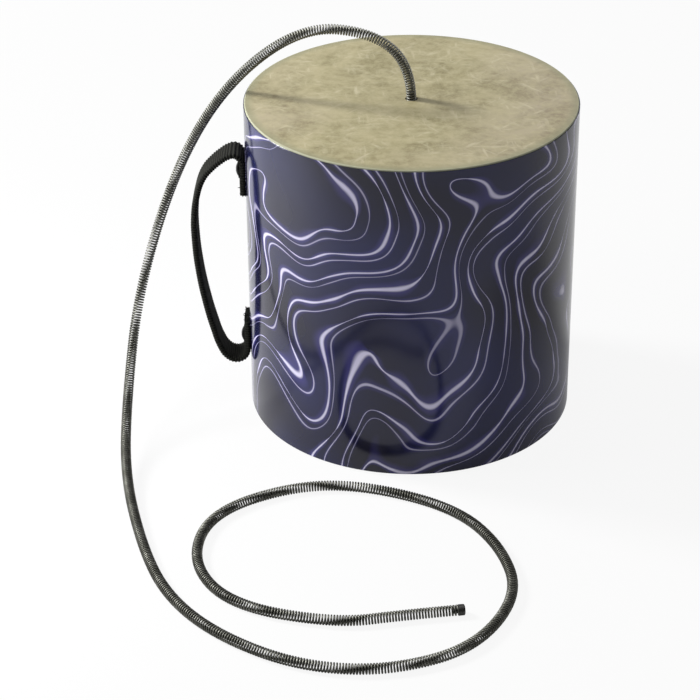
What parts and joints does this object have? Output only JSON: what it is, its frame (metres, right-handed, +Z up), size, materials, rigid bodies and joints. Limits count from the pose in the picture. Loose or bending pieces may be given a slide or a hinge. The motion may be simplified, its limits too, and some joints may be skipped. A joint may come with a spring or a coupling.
{
  "type": "thunder tube",
  "caption": "Single-headed drum, open below, with a long limp spring hanging from its head that makes a thunder sound when shaken, and a webbing side handle.",
  "frame": {"origin": "centre of the drum's open bottom end, on the floor that it stands on", "axes": "+Z up along the drum's axis, the handle on -X, +Y to the back as pictured"},
  "size_m": [0.3518, 0.5031, 0.317],
  "materials": {
    "fibre_shell": "raw resin-bonded wood fibre, satin",
    "printed_film": "printed film, gloss",
    "head_film": "fibre-look film, matte",
    "moulded_nylon": "moulded, satin",
    "spring_steel": "drawn spring wire, dull grey",
    "strap_webbing": "woven black webbing",
    "blackened_steel": "black oxide, satin",
    "zinc_steel": "zinc plated"
  },
  "bodies": {
    "drum": {"shell": "fibre_shell", "shell_wrap": "printed_film", "drumhead": "head_film", "anchor_washer": "moulded_nylon", "strap_tail_upper": "strap_webbing", "strap_tail_lower": "strap_webbing", "handle_screw_upper": "blackened_steel", "handle_screw_lower": "blackened_steel", "strap_washer_upper": "blackened_steel", "strap_washer_lower": "blackened_steel", "inner_washer_upper": "zinc_steel", "inner_washer_lower": "zinc_steel", "handle_nut_upper": "zinc_steel", "handle_nut_lower": "zinc_steel"},
    "handle": {"handle_strap": "strap_webbing"},
    "spring": {"anchor_plug": "moulded_nylon", "spring_coils": "spring_steel", "spring_drop": "spring_steel", "spring_floor_loop": "spring_steel", "spring_end_cap": "moulded_nylon"}
  },
  "joints": [
    {"name": "handle_swing", "type": "hinge", "parent": "drum", "child": "handle", "pos_m": [-0.142, 0, 0.1235], "axis": [0, 0, 1], "range_deg": [-75, 75]},
    {"name": "spring_swivel", "type": "hinge", "parent": "drum", "child": "spring", "pos_m": [0, 0, 0.2522], "axis": [0, 0, 1], "continuous": true}
  ]
}
